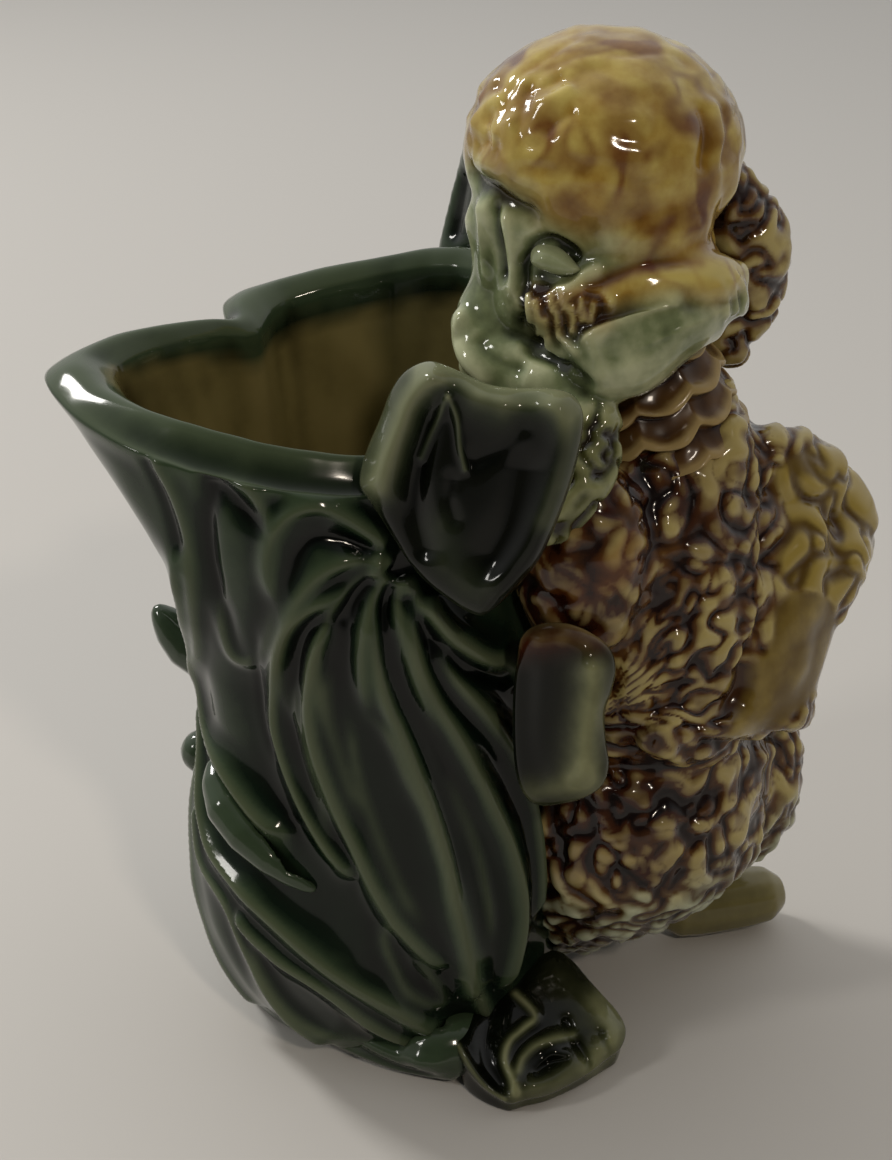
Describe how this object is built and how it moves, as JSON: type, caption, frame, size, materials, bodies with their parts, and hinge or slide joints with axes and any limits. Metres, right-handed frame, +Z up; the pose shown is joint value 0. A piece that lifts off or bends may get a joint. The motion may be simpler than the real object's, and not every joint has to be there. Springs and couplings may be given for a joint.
{
  "type": "figural vase",
  "caption": "Glazed pottery planter vase: a leafy open vessel with a pouring lip, a bud and petal in relief, and a seated curly-coated dog against its side.",
  "frame": {"origin": "centre of the bounding box's underside, on the table", "axes": "+Z up, the pouring lip towards -X, the pictured side towards -Y"},
  "size_m": [0.1654, 0.109, 0.2028],
  "materials": {
    "leaf_glaze": "dark bottle-green majolica glaze, wet gloss, thinner and paler on the ridges",
    "face_glaze": "pale grey-green glaze, wet gloss",
    "fur_glaze": "mottled glaze over modelled curls, maroon-brown in the hollows and pale olive on the crests, wet gloss",
    "topknot_glaze": "olive-yellow glaze streaked with brown, wet gloss"
  },
  "bodies": {
    "root": {"vase_vessel": "leaf_glaze", "front_leaf": "leaf_glaze", "lower_leaf": "leaf_glaze", "foot_leaf": "leaf_glaze", "sweep_leaf": "leaf_glaze", "fold_leaf": "leaf_glaze", "hub_leaf": "leaf_glaze", "side_leaf": "leaf_glaze", "back_leaf": "leaf_glaze", "tall_leaf": "leaf_glaze", "front_petal": "leaf_glaze", "petal_edge": "face_glaze", "leaf_knot": "leaf_glaze", "upper_thorn": "leaf_glaze", "lower_bud": "leaf_glaze", "curled_sprig": "face_glaze", "haunches": "fur_glaze", "chest": "fur_glaze", "far_thigh": "fur_glaze", "near_foot": "leaf_glaze", "near_toe_1": "leaf_glaze", "near_toe_2": "leaf_glaze", "near_toe_3": "leaf_glaze", "far_foot": "topknot_glaze", "near_shoulder": "fur_glaze", "far_shoulder": "topknot_glaze", "near_paw": "leaf_glaze", "far_arm": "fur_glaze", "skull": "face_glaze", "topknot": "topknot_glaze", "muzzle": "face_glaze", "nose": "leaf_glaze", "near_eye": "face_glaze", "far_eye": "face_glaze", "near_ear": "face_glaze", "far_ear": "fur_glaze", "collar_tier_1": "fur_glaze", "collar_tier_2": "fur_glaze", "collar_tier_3": "fur_glaze", "collar_tier_4": "fur_glaze"}
  },
  "joints": []
}
